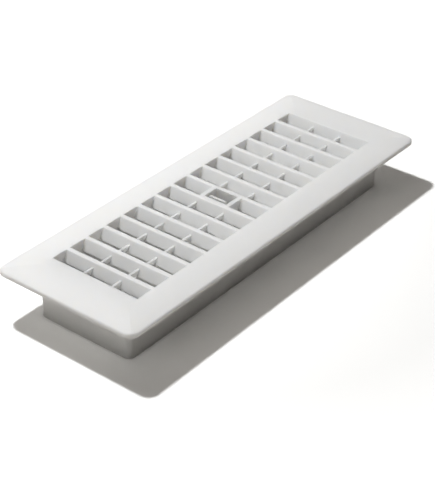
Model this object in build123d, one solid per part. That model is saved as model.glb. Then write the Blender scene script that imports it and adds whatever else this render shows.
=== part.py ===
"""Drop-in floor register: a one-piece louvered faceplate with a linked ten-vane damper.

Millimetres, +Z up. X runs along the faceplate, Y across it. The origin is the centre of the neck's foot.
"""
import os
from math import cos, radians, sin, sqrt

from build123d import *

# Faceplate
PLATE_LENGTH = 279.4
PLATE_WIDTH = 101.6
PLATE_CORNER_RADIUS = 7.0
PLATE_WALL = 2.0
RIM_HEIGHT = 2.3
RIM_LIP = 2.0
RIM_ROUND = 1.2
CROWN_WIDTH = 18.0
CROWN_RISE = 2.0

# Neck
FLANGE_OVERHANG = 17.0
NECK_DEPTH = 30.5
NECK_WALL = 2.2
NECK_CORNER_RADIUS = 3.2

# Grille
ROW_PITCH = 15.3
LOUVER_THICKNESS = 4.0
LOUVER_FOOT_THICKNESS = 2.6
LOUVER_DEPTH = 6.6
LOUVER_LEAN = 3.5
LOUVER_ROUND = 0.8
END_LAND = 7.0
END_RIB_THICKNESS = 2.5
COLUMN_COUNT = 3
COLUMN_SHARE = 0.33
BAR_THICKNESS = 1.3
BAR_DROP = 2.6
BAR_HEIGHT = 3.2
FUSE_DEPTH = 0.6

# Thumb lever and its window
LEVER_TRAVEL = 6.5
LEVER_THICKNESS = 1.6
LEVER_WIDTH = 13.0
LEVER_CORNER_RADIUS = 1.5
LEVER_EDGE_ROUND = 0.5
LEVER_SHOULDER = 2.0
WINDOW_END_ROOM = 1.5
WINDOW_SIDE_ROOM = 1.75

# Damper vanes
VANE_NOMINAL_PITCH = 23.4
VANE_END_ROOM = 4.6
VANE_THICKNESS = 1.4
VANE_EDGE_GAP = 0.8
VANE_TOP_ROOM = 0.6
VANE_SWING = 80.0
LIP_THICKNESS = 1.0
LIP_GAP = 0.3
LIP_OVERLAP = 1.2
LIP_ROOT = 2.0
HUB_DIAMETER = 4.0
HUB_STOP = 6.0

# Vane bearings
STUB_DIAMETER = 3.0
STUB_ENTRY = 1.2
STUB_TIP_ROOM = 0.3
STUB_CLEARANCE = 0.06
BOSS_DIAMETER = 7.0
BOSS_HEIGHT = 0.8
VANE_END_PLAY = 0.4

# Link bar and cranks
LINK_THICKNESS = 2.0
LINK_HEIGHT = 4.5
LINK_SIDE_ROOM = 0.5
NOTCH_ROOM = 0.5
PIN_DIAMETER = 2.0
PIN_CLEARANCE = 0.05
PIN_REACH = 0.6
EAR_THICKNESS = 2.0
EAR_RADIUS = 2.0
EAR_FOOT_MARGIN = 1.2

# Levels
RIM_TOP_Z = NECK_DEPTH + RIM_HEIGHT
TOP_Z = RIM_TOP_Z + CROWN_RISE
PANEL_UNDERSIDE_Z = TOP_Z - PLATE_WALL
LOUVER_FOOT_Z = TOP_Z - LOUVER_DEPTH

# Panel and neck outlines
PANEL_LENGTH = PLATE_LENGTH - 2 * CROWN_WIDTH
PANEL_WIDTH = PLATE_WIDTH - 2 * CROWN_WIDTH
NECK_LENGTH = PLATE_LENGTH - 2 * FLANGE_OVERHANG
NECK_WIDTH = PLATE_WIDTH - 2 * FLANGE_OVERHANG
DUCT_LENGTH = NECK_LENGTH - 2 * NECK_WALL
DUCT_WIDTH = NECK_WIDTH - 2 * NECK_WALL
DUCT_CORNER_RADIUS = NECK_CORNER_RADIUS - NECK_WALL

# Grille pattern: an odd number of rows keeps the control window in the middle
ROW_PAIRS = int((DUCT_LENGTH - 2 * END_LAND + LOUVER_THICKNESS - ROW_PITCH) / (2 * ROW_PITCH))
ROW_COUNT = 2 * ROW_PAIRS + 1
ROW_GAP = ROW_PITCH - LOUVER_THICKNESS
GRILLE_LENGTH = ROW_COUNT * ROW_PITCH - LOUVER_THICKNESS
COLUMN_PITCH = DUCT_WIDTH * COLUMN_SHARE

# Control window
WINDOW_LENGTH = LEVER_TRAVEL + LEVER_THICKNESS + 2 * WINDOW_END_ROOM
WINDOW_WIDTH = LEVER_WIDTH + 2 * WINDOW_SIDE_ROOM

# Damper pattern: an even number of vanes leaves the middle free for the lever
VANE_COUNT = 2 * round((DUCT_LENGTH - 2 * VANE_END_ROOM) / (2 * VANE_NOMINAL_PITCH))
VANE_PITCH = (DUCT_LENGTH - 2 * VANE_END_ROOM) / VANE_COUNT
VANE_LENGTH = DUCT_WIDTH - 2 * BOSS_HEIGHT - 2 * VANE_END_PLAY
VANE_EDGE_X = VANE_PITCH / 2 - VANE_EDGE_GAP / 2
LIP_TIP_X = VANE_PITCH / 2 + LIP_OVERLAP
LIP_BOTTOM_Z = VANE_THICKNESS / 2 + LIP_GAP
LIP_TOP_Z = LIP_BOTTOM_Z + LIP_THICKNESS
VANE_REACH = sqrt(LIP_TIP_X ** 2 + LIP_TOP_Z ** 2)
PIVOT_Z = LOUVER_FOOT_Z - VANE_TOP_ROOM - VANE_REACH

# Crank: the pin swings half its turn to each side of the top
CRANK_RADIUS = LEVER_TRAVEL / 2 / sin(radians(VANE_SWING / 2))
CRANK_X = -CRANK_RADIUS * sin(radians(VANE_SWING / 2))
CRANK_Z = CRANK_RADIUS * cos(radians(VANE_SWING / 2))
LINK_Z = PIVOT_Z + CRANK_Z
EAR_FACE_Y = LINK_THICKNESS / 2 + LINK_SIDE_ROOM
NOTCH_END_X = LINK_HEIGHT / 2 - CRANK_Z + NOTCH_ROOM


def slab(length, width, radius, bottom, top):
    """Upright slab with rounded corners between two levels."""
    return extrude(Pos(0, 0, bottom) * RectangleRounded(length, width, radius), top - bottom)


def across(profile, width):
    """Solid that carries an X-Z profile across the plate, centred on Y."""
    return extrude(Plane.XZ * profile, width / 2, both=True)


def along(profile, length):
    """Solid that carries a Y-Z profile along the plate, centred on X."""
    return extrude(Plane.YZ * profile, length / 2, both=True)


def crowned(span):
    """Section through the faceplate: a flat panel whose margins curve down to the rim."""
    edge = span / 2
    panel = edge - CROWN_WIDTH
    right = TangentArc((panel, TOP_Z), (edge, RIM_TOP_Z), tangent=(1, 0))
    left = TangentArc((-panel, TOP_Z), (-edge, RIM_TOP_Z), tangent=(-1, 0))
    sides = Polyline((edge, RIM_TOP_Z), (edge, NECK_DEPTH), (-edge, NECK_DEPTH), (-edge, RIM_TOP_Z))
    return make_face([right, sides, left, Line((-panel, TOP_Z), (panel, TOP_Z))])


def rod_across(diameter, width):
    """Round rod along Y, centred on the origin."""
    return Rot(90, 0, 0) * Cylinder(diameter / 2, width)


def vane_places():
    """X of each vane's pivot, from the near end to the far end."""
    first = -VANE_PITCH * (VANE_COUNT - 1) / 2
    return [first + VANE_PITCH * index for index in range(VANE_COUNT)]


def flange_hollow():
    """Hollow under the flange, from the lip at the rim up to the panel."""
    lip_length = PLATE_LENGTH - 2 * RIM_LIP
    lip_width = PLATE_WIDTH - 2 * RIM_LIP
    lip = Pos(0, 0, NECK_DEPTH) * RectangleRounded(lip_length, lip_width, PLATE_CORNER_RADIUS - RIM_LIP)
    roof = Pos(0, 0, PANEL_UNDERSIDE_Z) * RectangleRounded(PANEL_LENGTH, PANEL_WIDTH, NECK_CORNER_RADIUS)
    return loft([lip.face(), roof.face()], ruled=True)


def faceplate_shell():
    """Crowned faceplate, mitred at its corners, with a rounded rim and a hollow underside."""
    plate = across(crowned(PLATE_LENGTH), PLATE_WIDTH) & along(crowned(PLATE_WIDTH), PLATE_LENGTH)
    plate = fillet(plate.edges().filter_by(Axis.Z), PLATE_CORNER_RADIUS)
    level_edges = plate.edges().filter_by(Axis.Z, reverse=True)
    below_rim = RIM_TOP_Z - RIM_HEIGHT / 2
    above_rim = RIM_TOP_Z + CROWN_RISE / 2
    rim_edges = level_edges.filter_by_position(Axis.Z, below_rim, above_rim)
    return fillet(rim_edges, RIM_ROUND) - flange_hollow()


def neck():
    """Open rectangular neck that drops into the duct."""
    outside = slab(NECK_LENGTH, NECK_WIDTH, NECK_CORNER_RADIUS, 0, PANEL_UNDERSIDE_Z)
    return outside - slab(DUCT_LENGTH, DUCT_WIDTH, DUCT_CORNER_RADIUS, 0, PANEL_UNDERSIDE_Z)


def louver():
    """One louver with rounded top edges, its top at the origin and its foot leaning to the near end."""
    half_top = LOUVER_THICKNESS / 2
    foot_near = -half_top - LOUVER_LEAN
    foot_far = foot_near + LOUVER_FOOT_THICKNESS
    corners = [(half_top, 0), (-half_top, 0), (foot_near, -LOUVER_DEPTH), (foot_far, -LOUVER_DEPTH)]
    profile = Polygon(*corners, align=None)
    profile = fillet(profile.vertices().group_by(Axis.Y)[-1], LOUVER_ROUND)
    return across(profile, DUCT_WIDTH + 2 * FUSE_DEPTH)


def grille():
    """Louvers, near end rib, column bars and the frame of the control window."""
    first = -ROW_PITCH * (ROW_COUNT - 2) / 2
    parts = [Pos(first + ROW_PITCH * index, 0, TOP_Z) * louver() for index in range(ROW_COUNT)]
    rib = Box(END_RIB_THICKNESS, DUCT_WIDTH + 2 * FUSE_DEPTH, LOUVER_DEPTH - FUSE_DEPTH)
    rib_x = (GRILLE_LENGTH + END_RIB_THICKNESS) / 2
    rib_z = (LOUVER_FOOT_Z + TOP_Z - FUSE_DEPTH) / 2
    parts += [Pos(-rib_x, 0, rib_z) * rib]
    bar = Box(GRILLE_LENGTH + 2 * FUSE_DEPTH, BAR_THICKNESS, BAR_HEIGHT)
    bar_y = -COLUMN_PITCH * (COLUMN_COUNT - 2) / 2
    bar_z = TOP_Z - BAR_DROP - BAR_HEIGHT / 2
    parts += [Pos(0, bar_y + COLUMN_PITCH * index, bar_z) * bar for index in range(COLUMN_COUNT - 1)]
    frame = Box(ROW_PITCH, COLUMN_PITCH + BAR_THICKNESS, LOUVER_DEPTH)
    return Part() + parts + Pos(0, 0, TOP_Z - LOUVER_DEPTH / 2) * frame


def bearing_bosses():
    """Round pads on the neck's long walls that hold the vane stubs."""
    pad = rod_across(BOSS_DIAMETER, BOSS_HEIGHT + FUSE_DEPTH)
    pad_y = DUCT_WIDTH / 2 - BOSS_HEIGHT / 2 + FUSE_DEPTH / 2
    return [Pos(x, side * pad_y, PIVOT_Z) * pad for x in vane_places() for side in (-1, 1)]


def bearing_holes():
    """Blind holes through the pads, one rod across the neck for each pair of bearings."""
    hole_width = DUCT_WIDTH + 2 * (STUB_ENTRY + STUB_TIP_ROOM)
    hole = rod_across(STUB_DIAMETER + 2 * STUB_CLEARANCE, hole_width)
    return [Pos(x, 0, PIVOT_Z) * hole for x in vane_places()]


def faceplate_grille():
    """The one-piece moulding: faceplate, neck, grille and bearings."""
    grille_cut = Box(GRILLE_LENGTH, DUCT_WIDTH, PLATE_WALL)
    body = faceplate_shell() - Pos(0, 0, TOP_Z - PLATE_WALL / 2) * grille_cut
    body = body + neck() + grille() + bearing_bosses()
    window = Box(WINDOW_LENGTH, WINDOW_WIDTH, LOUVER_DEPTH)
    return body - Pos(0, 0, TOP_Z - LOUVER_DEPTH / 2) * window - bearing_holes()


def vane_leaf():
    """Thin leaf with a raised lip that laps over its neighbour's edge."""
    half = VANE_THICKNESS / 2
    root_x = -VANE_EDGE_X + LIP_ROOT
    outline = [
        (VANE_EDGE_X, -half),
        (VANE_EDGE_X, half),
        (root_x, half),
        (root_x, LIP_TOP_Z),
        (-LIP_TIP_X, LIP_TOP_Z),
        (-LIP_TIP_X, LIP_BOTTOM_Z),
        (-VANE_EDGE_X, LIP_BOTTOM_Z),
        (-VANE_EDGE_X, -half),
    ]
    leaf = across(Polygon(*outline, align=None), VANE_LENGTH)
    notch_length = LIP_TIP_X + NOTCH_END_X
    notch = Box(notch_length, 2 * EAR_FACE_Y, 2 * LIP_TOP_Z)
    return leaf - Pos(NOTCH_END_X - notch_length / 2, 0, 0) * notch


def vane_axle():
    """Stiffening hubs along the pivot axis and the end stubs that run in the bearings."""
    hub_length = VANE_LENGTH / 2 - HUB_STOP
    hub_y = HUB_STOP + hub_length / 2
    stub_length = VANE_END_PLAY + BOSS_HEIGHT + STUB_ENTRY
    stub_y = VANE_LENGTH / 2 + stub_length / 2
    hub = rod_across(HUB_DIAMETER, hub_length)
    stub = rod_across(STUB_DIAMETER, stub_length)
    return [Pos(0, side * y, 0) * rod for side in (-1, 1) for y, rod in ((hub_y, hub), (stub_y, stub))]


def vane_crank():
    """Ear beside the notch with the crank pin that carries the link bar."""
    foot_left = CRANK_X - EAR_RADIUS - EAR_FOOT_MARGIN
    foot_right = CRANK_X + EAR_RADIUS + EAR_FOOT_MARGIN
    foot = Polygon((foot_left, 0), (foot_right, 0), (CRANK_X, CRANK_Z), align=None)
    crown = Pos(CRANK_X, CRANK_Z) * Circle(EAR_RADIUS)
    web = make_hull(foot.edges() + crown.edges())
    ear = Pos(0, EAR_FACE_Y + EAR_THICKNESS / 2, 0) * across(web, EAR_THICKNESS)
    pin_length = FUSE_DEPTH + LINK_SIDE_ROOM + LINK_THICKNESS + PIN_REACH
    pin_y = EAR_FACE_Y + FUSE_DEPTH - pin_length / 2
    return [ear, Pos(CRANK_X, pin_y, CRANK_Z) * rod_across(PIN_DIAMETER, pin_length)]


def damper_vane():
    """One vane, closed, with its pivot at the origin."""
    return vane_leaf() + vane_axle() + vane_crank()


def open_vane():
    """One vane as it stands when open, with its lip uppermost and its pivot at the origin."""
    end_for_end = Rot(0, 0, 180) * damper_vane()
    return Rot(0, -VANE_SWING, 0) * end_for_end


def link_bar():
    """Flat bar with a hole for each crank pin."""
    bar = across(SlotCenterToCenter(VANE_PITCH * (VANE_COUNT - 1), LINK_HEIGHT), LINK_THICKNESS)
    hole = rod_across(PIN_DIAMETER + 2 * PIN_CLEARANCE, LINK_THICKNESS)
    return bar - [Pos(x, 0, 0) * hole for x in vane_places()]


def thumb_lever():
    """Thumb tab that stands on the link bar and reaches up to the plate, its foot at the origin."""
    top = TOP_Z - LINK_Z
    shoulder = LOUVER_FOOT_Z - LEVER_SHOULDER - LINK_Z
    foot = LINK_HEIGHT / 2
    half = LEVER_WIDTH / 2
    stem = LINK_THICKNESS / 2
    right_side = [(stem, 0), (stem, foot), (half, shoulder), (half, top)]
    left_side = [(-y, z) for y, z in reversed(right_side)]
    profile = Polygon(*right_side, *left_side, align=None)
    profile = fillet(profile.vertices().group_by(Axis.Y)[-1], LEVER_CORNER_RADIUS)
    tab = extrude(Plane.YZ * profile, LEVER_THICKNESS / 2, both=True)
    return fillet(tab.edges().filter_by(Axis.Y).group_by(Axis.Z)[-1], LEVER_EDGE_ROUND)


def damper_link():
    """Link bar and thumb lever in one piece, on the crank pins of the open vanes."""
    return Pos(CRANK_X, 0, LINK_Z) * (link_bar() + thumb_lever())


def main():
    """Builds every piece in place and writes one file for each."""
    pieces = {"faceplate_grille": faceplate_grille(), "damper_link": damper_link()}
    vane = open_vane()
    for number, x in enumerate(vane_places(), start=1):
        pieces[f"damper_vane_{number:02d}"] = Pos(x, 0, PIVOT_Z) * vane
    os.makedirs("parts", exist_ok=True)
    for name, piece in pieces.items():
        export_step(piece, f"parts/{name}.step")


if __name__ == "__main__":
    main()
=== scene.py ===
"""Looks of a white louvered floor register: its plastics, a plain studio and the photograph's camera."""
import logging
from dataclasses import dataclass
from enum import Enum

import bpy
from mathutils import Matrix, Vector

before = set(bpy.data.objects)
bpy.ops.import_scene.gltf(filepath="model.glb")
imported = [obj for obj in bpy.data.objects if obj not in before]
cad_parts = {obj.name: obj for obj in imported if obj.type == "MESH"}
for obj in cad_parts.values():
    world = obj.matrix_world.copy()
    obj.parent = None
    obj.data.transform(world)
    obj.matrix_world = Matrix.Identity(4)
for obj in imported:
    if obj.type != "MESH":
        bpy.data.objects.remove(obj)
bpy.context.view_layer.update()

LOG = logging.getLogger("floor_register")

Colour = tuple[float, float, float]
Point = tuple[float, float, float]

WHITE: Colour = (1.0, 1.0, 1.0)
NOISE_LOW = 0.3
NOISE_HIGH = 0.7


class MathStep(Enum):
    """Operations that the shaders use on numbers."""

    ADD = "ADD"
    MULTIPLY = "MULTIPLY"
    LARGER = "MAXIMUM"


class NodeSheet:
    """Small helper that lays shader nodes in one tree."""

    def __init__(self, tree: bpy.types.NodeTree) -> None:
        """Empties the tree.

        Args:
            tree: The node tree of a material or a world.
        """
        self.tree = tree
        self.tree.nodes.clear()

    def fill(self, socket: bpy.types.NodeSocket, value: object) -> None:
        """Gives an input socket its value.

        Args:
            socket: The input socket.
            value: A plain value, or an output socket to link.
        """
        if isinstance(value, bpy.types.NodeSocket):
            self.tree.links.new(value, socket)
        else:
            socket.default_value = value

    def add(self, kind: str, **inputs: object) -> bpy.types.Node:
        """Adds a node and fills its input sockets.

        Args:
            kind: The node's class name.
            **inputs: Socket name, with _ for a space, to a value or to an output socket.

        Returns:
            The new node.
        """
        node = self.tree.nodes.new(kind)
        for name, value in inputs.items():
            self.fill(node.inputs[name.replace("_", " ")], value)
        return node

    def math(self, operation: MathStep, first: object, second: object) -> bpy.types.NodeSocket:
        """Adds a Math node.

        Args:
            operation: What is done with the two values.
            first: First value or output socket.
            second: Second value or output socket.

        Returns:
            The node's output.
        """
        node = self.tree.nodes.new("ShaderNodeMath")
        node.operation = operation.value
        for socket, value in zip(node.inputs, (first, second)):
            self.fill(socket, value)
        return node.outputs[0]

    def spread(self, value: bpy.types.NodeSocket, low: float, high: float) -> bpy.types.NodeSocket:
        """Maps a noise value to a range.

        Args:
            value: Output socket of about NOISE_LOW to NOISE_HIGH.
            low: Result at the low end.
            high: Result at the high end.

        Returns:
            The mapped output.
        """
        node = self.add(
            "ShaderNodeMapRange", Value=value, From_Min=NOISE_LOW, From_Max=NOISE_HIGH, To_Min=low, To_Max=high
        )
        return node.outputs["Result"]

    def blend(self, factor: bpy.types.NodeSocket, first: Colour, second: Colour) -> bpy.types.NodeSocket:
        """Mixes two colours.

        Args:
            factor: Output socket from 0 to 1.
            first: Colour at 0.
            second: Colour at 1.

        Returns:
            The mixed colour's output.
        """
        node = self.tree.nodes.new("ShaderNodeMix")
        node.data_type = "RGBA"
        self.fill(next(socket for socket in node.inputs if socket.type == "VALUE"), factor)
        colour_sockets = [socket for socket in node.inputs if socket.type == "RGBA"]
        for socket, colour in zip(colour_sockets, (first, second)):
            socket.default_value = (*colour, 1.0)
        return next(socket for socket in node.outputs if socket.type == "RGBA")

    def join(self, kind: str, first: bpy.types.Node, second: bpy.types.Node) -> bpy.types.Node:
        """Joins two shaders.

        Args:
            kind: Add or mix shader class name.
            first: First shader node.
            second: Second shader node.

        Returns:
            The joining node.
        """
        node = self.tree.nodes.new(kind)
        self.tree.links.new(first.outputs[0], node.inputs[-2])
        self.tree.links.new(second.outputs[0], node.inputs[-1])
        return node

    def seen_directly(self) -> bpy.types.NodeSocket:
        """Gives 1 on rays from the camera, a reflection or a transmission, and 0 on lighting rays."""
        path = self.add("ShaderNodeLightPath").outputs
        seen = self.math(MathStep.LARGER, path["Is Camera Ray"], path["Is Glossy Ray"])
        return self.math(MathStep.LARGER, seen, path["Is Transmission Ray"])


@dataclass(frozen=True)
class SatinPlastic:
    """Injection-moulded white plastic with a fine satin grain, a little translucent where it is thin."""

    name: str
    colour: Colour
    shade: Colour
    roughness_low: float
    roughness_high: float
    mottle_scale: float
    grain_scale: float
    grain_depth: float
    wave_depth: float
    scatter_depth: float
    scatter_from: float
    scatter_full: float
    scatter_tint: Colour = (1.0, 0.97, 0.92)
    gloss: float = 0.20
    mottle_detail: float = 3.0
    grain_detail: float = 4.0

    def material(self) -> bpy.types.Material:
        """Builds the finish as shader nodes.

        Returns:
            The new material.
        """
        made = bpy.data.materials.new(self.name)
        made.use_nodes = True
        sheet = NodeSheet(made.node_tree)
        place = sheet.add("ShaderNodeTexCoord").outputs["Object"]
        mottle = self.noise(sheet, place, self.mottle_scale, self.mottle_detail)
        grain = self.noise(sheet, place, self.grain_scale, self.grain_detail)
        fine_relief = sheet.math(MathStep.MULTIPLY, grain, self.grain_depth)
        broad_relief = sheet.math(MathStep.MULTIPLY, mottle, self.wave_depth)
        relief = sheet.math(MathStep.ADD, fine_relief, broad_relief)
        # The relief is in metres already, so the bump neither stretches nor fades it.
        bump = sheet.add("ShaderNodeBump", Height=relief, Distance=1.0, Strength=1.0)
        height = sheet.add("ShaderNodeSeparateXYZ", Vector=place).outputs["Z"]
        thin = sheet.add("ShaderNodeMapRange", Value=height, From_Min=self.scatter_from, From_Max=self.scatter_full)
        shader = sheet.add(
            "ShaderNodeBsdfPrincipled",
            Base_Color=sheet.blend(sheet.spread(mottle, 0.0, 1.0), self.colour, self.shade),
            Roughness=sheet.spread(grain, self.roughness_low, self.roughness_high),
            Specular_IOR_Level=self.gloss,
            Subsurface_Weight=thin.outputs["Result"],
            Subsurface_Radius=self.scatter_tint,
            Subsurface_Scale=self.scatter_depth,
            Normal=bump.outputs["Normal"],
        )
        sheet.add("ShaderNodeOutputMaterial", Surface=shader.outputs["BSDF"])
        return made

    @staticmethod
    def noise(sheet: NodeSheet, place: bpy.types.NodeSocket, scale: float, detail: float) -> bpy.types.NodeSocket:
        """Adds a noise over the object's own coordinates.

        Args:
            sheet: The node sheet.
            place: Output socket of the coordinates.
            scale: Noise scale.
            detail: Number of finer layers.

        Returns:
            The noise value's output.
        """
        return sheet.add("ShaderNodeTexNoise", Vector=place, Scale=scale, Detail=detail).outputs[0]


FACEPLATE_WHITE = SatinPlastic(
    name="faceplate_white",
    colour=(0.945, 0.950, 0.945),
    shade=(0.930, 0.936, 0.930),
    roughness_low=0.40,
    roughness_high=0.52,
    mottle_scale=34.0,
    grain_scale=2600.0,
    grain_depth=0.000010,
    wave_depth=0.000040,
    scatter_depth=0.0040,
    scatter_from=0.0250,
    scatter_full=0.0305,
)
DAMPER_WHITE = SatinPlastic(
    name="damper_white",
    colour=(0.925, 0.929, 0.920),
    shade=(0.908, 0.913, 0.903),
    roughness_low=0.44,
    roughness_high=0.58,
    mottle_scale=46.0,
    grain_scale=2200.0,
    grain_depth=0.000012,
    wave_depth=0.000030,
    scatter_depth=0.0030,
    scatter_from=0.0200,
    scatter_full=0.0320,
)


def dress(node: bpy.types.Object, material: bpy.types.Material) -> None:
    """Puts one finish on a CAD node.

    Args:
        node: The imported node.
        material: The finish.
    """
    node.data.materials.clear()
    node.data.materials.append(material)


@dataclass
class FaceplateMoulding:
    """One-piece faceplate, grille and neck."""

    node_name: str = "faceplate_grille"
    finish: SatinPlastic = FACEPLATE_WHITE

    def build(self) -> list[bpy.types.Object]:
        """Dresses the moulding.

        Returns:
            The dressed objects.
        """
        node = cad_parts[self.node_name]
        dress(node, self.finish.material())
        return [node]


@dataclass
class Damper:
    """Linked vanes and the link bar with its thumb lever."""

    vane_prefix: str = "damper_vane_"
    link_name: str = "damper_link"
    finish: SatinPlastic = DAMPER_WHITE

    def build(self) -> list[bpy.types.Object]:
        """Dresses the vanes and the link.

        Returns:
            The dressed objects.
        """
        names = sorted(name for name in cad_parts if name.startswith(self.vane_prefix))
        material = self.finish.material()
        nodes = [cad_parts[name] for name in [*names, self.link_name]]
        for node in nodes:
            dress(node, material)
        return nodes


@dataclass(frozen=True)
class Lamp:
    """Round studio lamp aimed at a point."""

    name: str
    place: Point
    size: float
    power: float
    colour: Colour
    aim: Point = (0.0, 0.0, 0.03)

    def build(self) -> bpy.types.Object:
        """Hangs the lamp.

        Returns:
            The lamp object.
        """
        data = bpy.data.lights.new(self.name, "AREA")
        data.shape = "DISK"
        data.size = self.size
        data.energy = self.power
        data.color = self.colour
        lamp = bpy.data.objects.new(self.name, data)
        lamp.location = self.place
        lamp.rotation_euler = (Vector(self.aim) - Vector(self.place)).to_track_quat("-Z", "Y").to_euler()
        bpy.context.scene.collection.objects.link(lamp)
        return lamp


@dataclass
class Studio:
    """White floor with a painted contact shadow along the part's foot, soft light from overhead, a small key lamp
    and a soft lamp at the near end.

    Lengths are in metres and powers in watts. Seen directly, the floor is painted brighter than white, so that it
    is white where the key lamp falls on it and keeps its shadow; the floor that lights the part is floor_bounce.
    """

    floor_half: float = 6.0
    floor_colour: Colour = (1.37, 1.37, 1.37)
    floor_bounce: Colour = (0.80, 0.772, 0.736)
    # Painted shade: the floor seen directly is darkened towards this colour where ambient occlusion finds the part
    # within this reach, a painted contact shadow along the neck's foot.
    painted_shade_colour: Colour = (0.70, 0.69, 0.68)
    painted_shade_reach: float = 0.004
    painted_shade_dark: float = 0.50
    painted_shade_clear: float = 0.85
    glow_start: float = 0.15
    glow_end: float = 0.55
    sky_colour: Colour = (1.0, 0.945, 0.870)
    sky_edge: float = 0.70
    sky_high: float = 0.41
    key: Lamp = Lamp(
        name="key_lamp", place=(-0.067, 0.307, 0.8125), size=0.061, power=5.5, colour=(0.995, 1.0, 0.998)
    )
    near: Lamp = Lamp(name="near_lamp", place=(-1.15, 0.0, 0.83), size=0.60, power=1.3, colour=(1.0, 0.985, 0.96))

    def build(self) -> list[bpy.types.Object]:
        """Makes the floor, the lamps and the surrounding light.

        Returns:
            The floor and the lamps.
        """
        self.surround()
        return [self.floor(), self.key.build(), self.near.build()]

    def floor(self) -> bpy.types.Object:
        """Lays the floor under the part.

        Returns:
            The floor object.
        """
        half = self.floor_half
        mesh = bpy.data.meshes.new("studio_floor")
        corners = [(-half, -half, 0.0), (half, -half, 0.0), (half, half, 0.0), (-half, half, 0.0)]
        mesh.from_pydata(corners, [], [(0, 1, 2, 3)])
        floor = bpy.data.objects.new("studio_floor", mesh)
        bpy.context.scene.collection.objects.link(floor)
        mesh.materials.append(self.floor_material())
        return floor

    def floor_material(self) -> bpy.types.Material:
        """Builds the white floor, which keeps the shadow, carries a thin painted contact shadow where the part
        stands close to it, and fades to the white surround.

        Returns:
            The new material.
        """
        made = bpy.data.materials.new("studio_white")
        made.use_nodes = True
        sheet = NodeSheet(made.node_tree)
        # Painted shade: ambient occlusion darkens the floor's seen colour into a thin painted contact shadow where
        # the part stands on it.
        contact_occlusion = sheet.add("ShaderNodeAmbientOcclusion", Distance=self.painted_shade_reach).outputs["AO"]
        painted_contact_shade = sheet.add("ShaderNodeMapRange", Value=contact_occlusion, From_Min=self.painted_shade_dark, From_Max=self.painted_shade_clear)
        colour = sheet.blend(painted_contact_shade.outputs["Result"], self.painted_shade_colour, self.floor_colour)
        paint = sheet.add("ShaderNodeBsdfDiffuse", Color=colour)
        place = sheet.add("ShaderNodeTexCoord").outputs["Object"]
        length = sheet.add("ShaderNodeVectorMath", Vector=place)
        length.operation = "LENGTH"
        away = length.outputs["Value"]
        fade = sheet.add("ShaderNodeMapRange", Value=away, From_Min=self.glow_start, From_Max=self.glow_end)
        glow = sheet.add("ShaderNodeEmission", Color=(*WHITE, 1.0), Strength=fade.outputs["Result"])
        shown = sheet.join("ShaderNodeAddShader", paint, glow)
        bounce = sheet.add("ShaderNodeBsdfDiffuse", Color=(*self.floor_bounce, 1.0))
        mix = sheet.join("ShaderNodeMixShader", bounce, shown)
        sheet.fill(mix.inputs[0], sheet.seen_directly())
        sheet.add("ShaderNodeOutputMaterial", Surface=mix.outputs[0])
        return made

    def surround(self) -> None:
        """Sets the surrounding light, which comes from overhead, with a white backdrop."""
        world = bpy.data.worlds.new("studio_surround")
        world.use_nodes = True
        sheet = NodeSheet(world.node_tree)
        direction = sheet.add("ShaderNodeTexCoord").outputs["Generated"]
        height = sheet.add("ShaderNodeSeparateXYZ", Vector=direction).outputs["Z"]
        glow = sheet.add("ShaderNodeMapRange", Value=height, From_Min=self.sky_edge, To_Max=self.sky_high)
        soft = sheet.add("ShaderNodeBackground", Color=(*self.sky_colour, 1.0), Strength=glow.outputs["Result"])
        white = sheet.add("ShaderNodeBackground", Color=(*WHITE, 1.0), Strength=1.0)
        mix = sheet.join("ShaderNodeMixShader", soft, white)
        sheet.fill(mix.inputs[0], sheet.seen_directly())
        sheet.add("ShaderNodeOutputWorld", Surface=mix.outputs[0])
        bpy.context.scene.world = world


@dataclass
class PhotoCamera:
    """Camera fitted to the photograph, an image of 435 by 495 pixels."""

    place: Point = (-0.5896, -0.4580, 0.4850)
    right: Point = (0.62091695, -0.78380084, 0.01088032)
    up: Point = (0.42269732, 0.34648007, 0.83742375)
    forward: Point = (0.66014326, 0.51537152, -0.54644586)
    lens: float = 105.14
    sensor: float = 36.0
    clip_near: float = 0.01
    clip_far: float = 50.0

    def build(self) -> bpy.types.Object:
        """Makes the scene's camera.

        Returns:
            The camera object.
        """
        data = bpy.data.cameras.new("photo_camera")
        data.lens = self.lens
        data.sensor_width = self.sensor
        data.clip_start = self.clip_near
        data.clip_end = self.clip_far
        camera = bpy.data.objects.new("photo_camera", data)
        back = -Vector(self.forward)
        turn = Matrix((self.right, self.up, back)).transposed()
        camera.matrix_world = Matrix.LocRotScale(Vector(self.place), turn.to_quaternion(), None)
        bpy.context.scene.collection.objects.link(camera)
        bpy.context.scene.camera = camera
        return camera


def main() -> None:
    """Builds the part's looks, the studio and the camera in order."""
    logging.basicConfig(level=logging.INFO, format="%(name)s: %(message)s")
    for assembly in (FaceplateMoulding(), Damper()):
        for piece in assembly.build():
            LOG.info("%s dressed in %s", piece.name, piece.data.materials[0].name)
    for item in Studio().build():
        LOG.info("%s placed", item.name)
    LOG.info("%s aimed", PhotoCamera().build().name)
    bpy.context.scene.view_settings.view_transform = "Standard"


if __name__ == "__main__":
    main()
